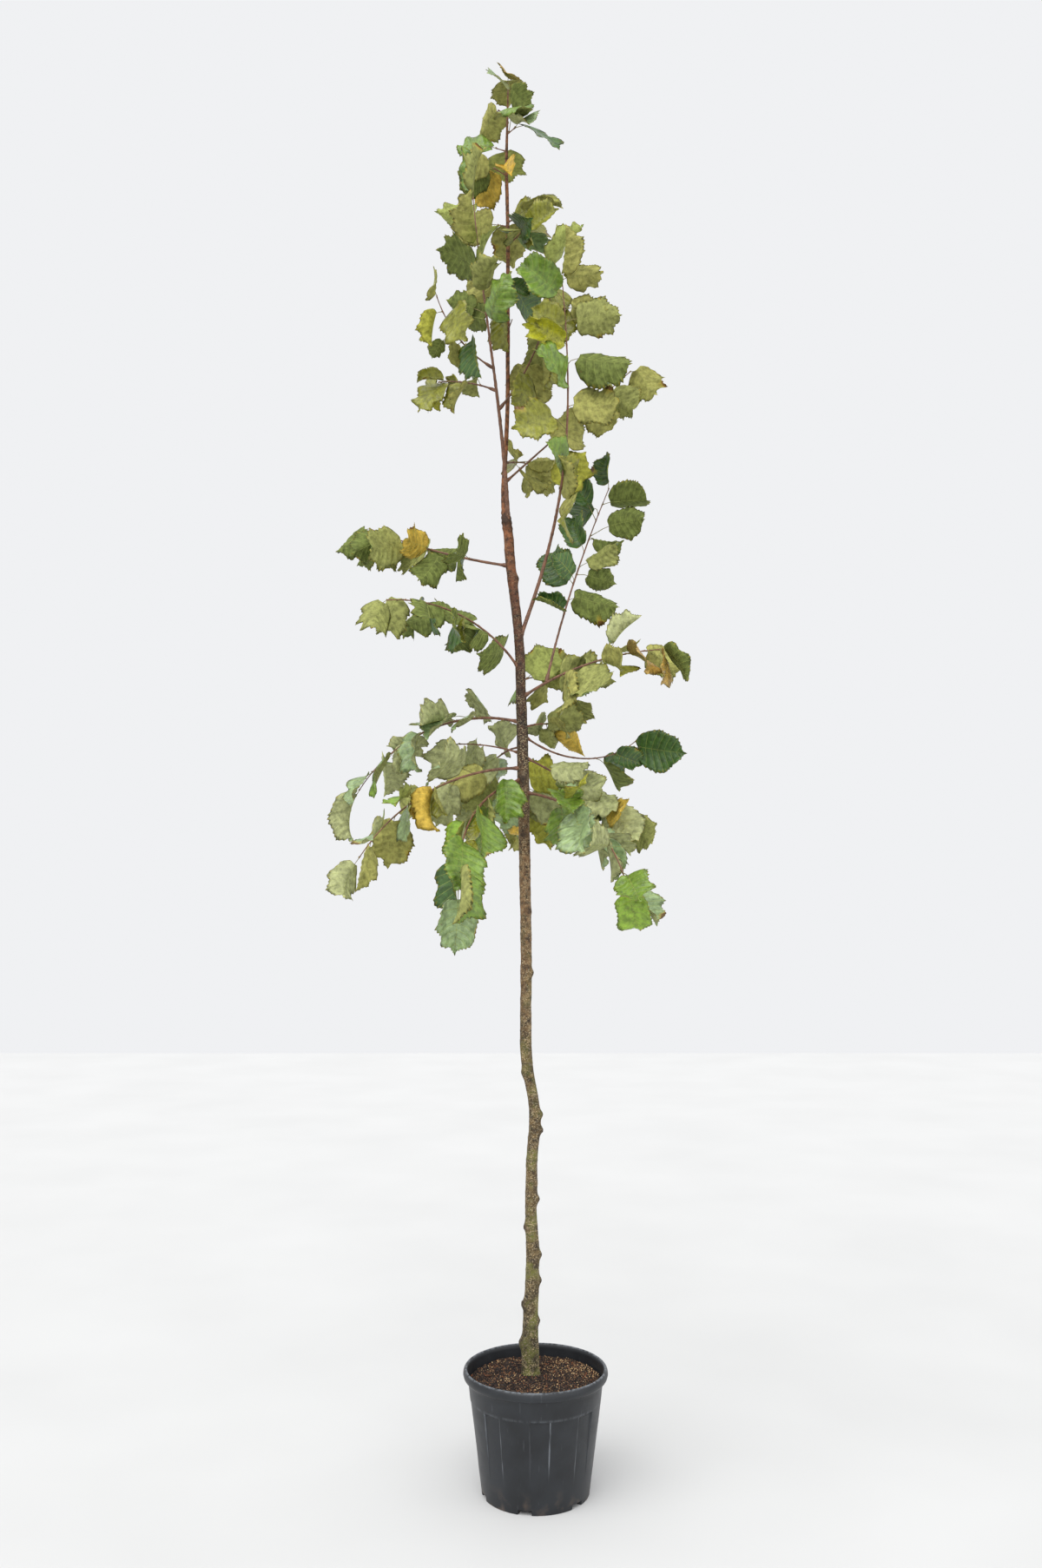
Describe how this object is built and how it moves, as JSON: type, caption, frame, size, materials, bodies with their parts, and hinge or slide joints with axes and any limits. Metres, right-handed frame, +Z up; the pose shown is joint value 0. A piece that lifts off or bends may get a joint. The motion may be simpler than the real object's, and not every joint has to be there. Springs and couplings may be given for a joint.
{
  "type": "potted common hazel tree",
  "caption": "Young common hazel with a slender wavering trunk, a forked leader, arching leafy shoots and autumn foliage, growing in a black nursery pot filled with compost.",
  "frame": {"origin": "middle of the pot's flat underside, which stands on the ground", "axes": "+Z up along the trunk; +X to the right of the picture's view; -Y towards its viewer"},
  "size_m": [0.9531, 0.8852, 3.764],
  "materials": {
    "black_plastic": "satin",
    "compost": "matte",
    "old_bark": "matte",
    "young_bark": "satin",
    "hazel_leaf": "matte"
  },
  "bodies": {
    "root": {"bough_back_high": "young_bark", "bough_back_left": "young_bark", "bough_back_low": "young_bark", "bough_behind_right": "young_bark", "bough_diagonal_right": "young_bark", "bough_far_right": "young_bark", "bough_fifth_left": "young_bark", "bough_fork_twig": "young_bark", "bough_fourth_left": "young_bark", "bough_front_left": "young_bark", "bough_left_leader": "young_bark", "bough_left_twig_high": "young_bark", "bough_left_twig_low": "young_bark", "bough_long_right": "young_bark", "bough_low_right": "young_bark", "bough_middle_right": "young_bark", "bough_outer_right": "young_bark", "bough_second_left": "young_bark", "bough_third_left": "young_bark", "bough_upper_left": "young_bark", "bough_upright_right": "young_bark", "foliage_back_high": "hazel_leaf", "foliage_back_left": "hazel_leaf", "foliage_back_low": "hazel_leaf", "foliage_behind_right": "hazel_leaf", "foliage_diagonal_right": "hazel_leaf", "foliage_far_right": "hazel_leaf", "foliage_fifth_left": "hazel_leaf", "foliage_fork_twig": "hazel_leaf", "foliage_fourth_left": "hazel_leaf", "foliage_front_left": "hazel_leaf", "foliage_inner_right": "hazel_leaf", "foliage_leader_1": "hazel_leaf", "foliage_leader_2": "hazel_leaf", "foliage_leader_3": "hazel_leaf", "foliage_leader_4": "hazel_leaf", "foliage_leader_5": "hazel_leaf", "foliage_leader_6": "hazel_leaf", "foliage_leader_7": "hazel_leaf", "foliage_leader_8": "hazel_leaf", "foliage_leader_9": "hazel_leaf", "foliage_leader_tip": "hazel_leaf", "foliage_left_leader": "hazel_leaf", "foliage_left_twig_high": "hazel_leaf", "foliage_left_twig_low": "hazel_leaf", "foliage_long_right": "hazel_leaf", "foliage_low_right": "hazel_leaf", "foliage_middle_right": "hazel_leaf", "foliage_outer_right": "hazel_leaf", "foliage_second_left": "hazel_leaf", "foliage_third_left": "hazel_leaf", "foliage_upper_left": "hazel_leaf", "foliage_upright_right": "hazel_leaf", "pot": "black_plastic", "soil": "compost", "trunk": "old_bark"}
  },
  "joints": []
}
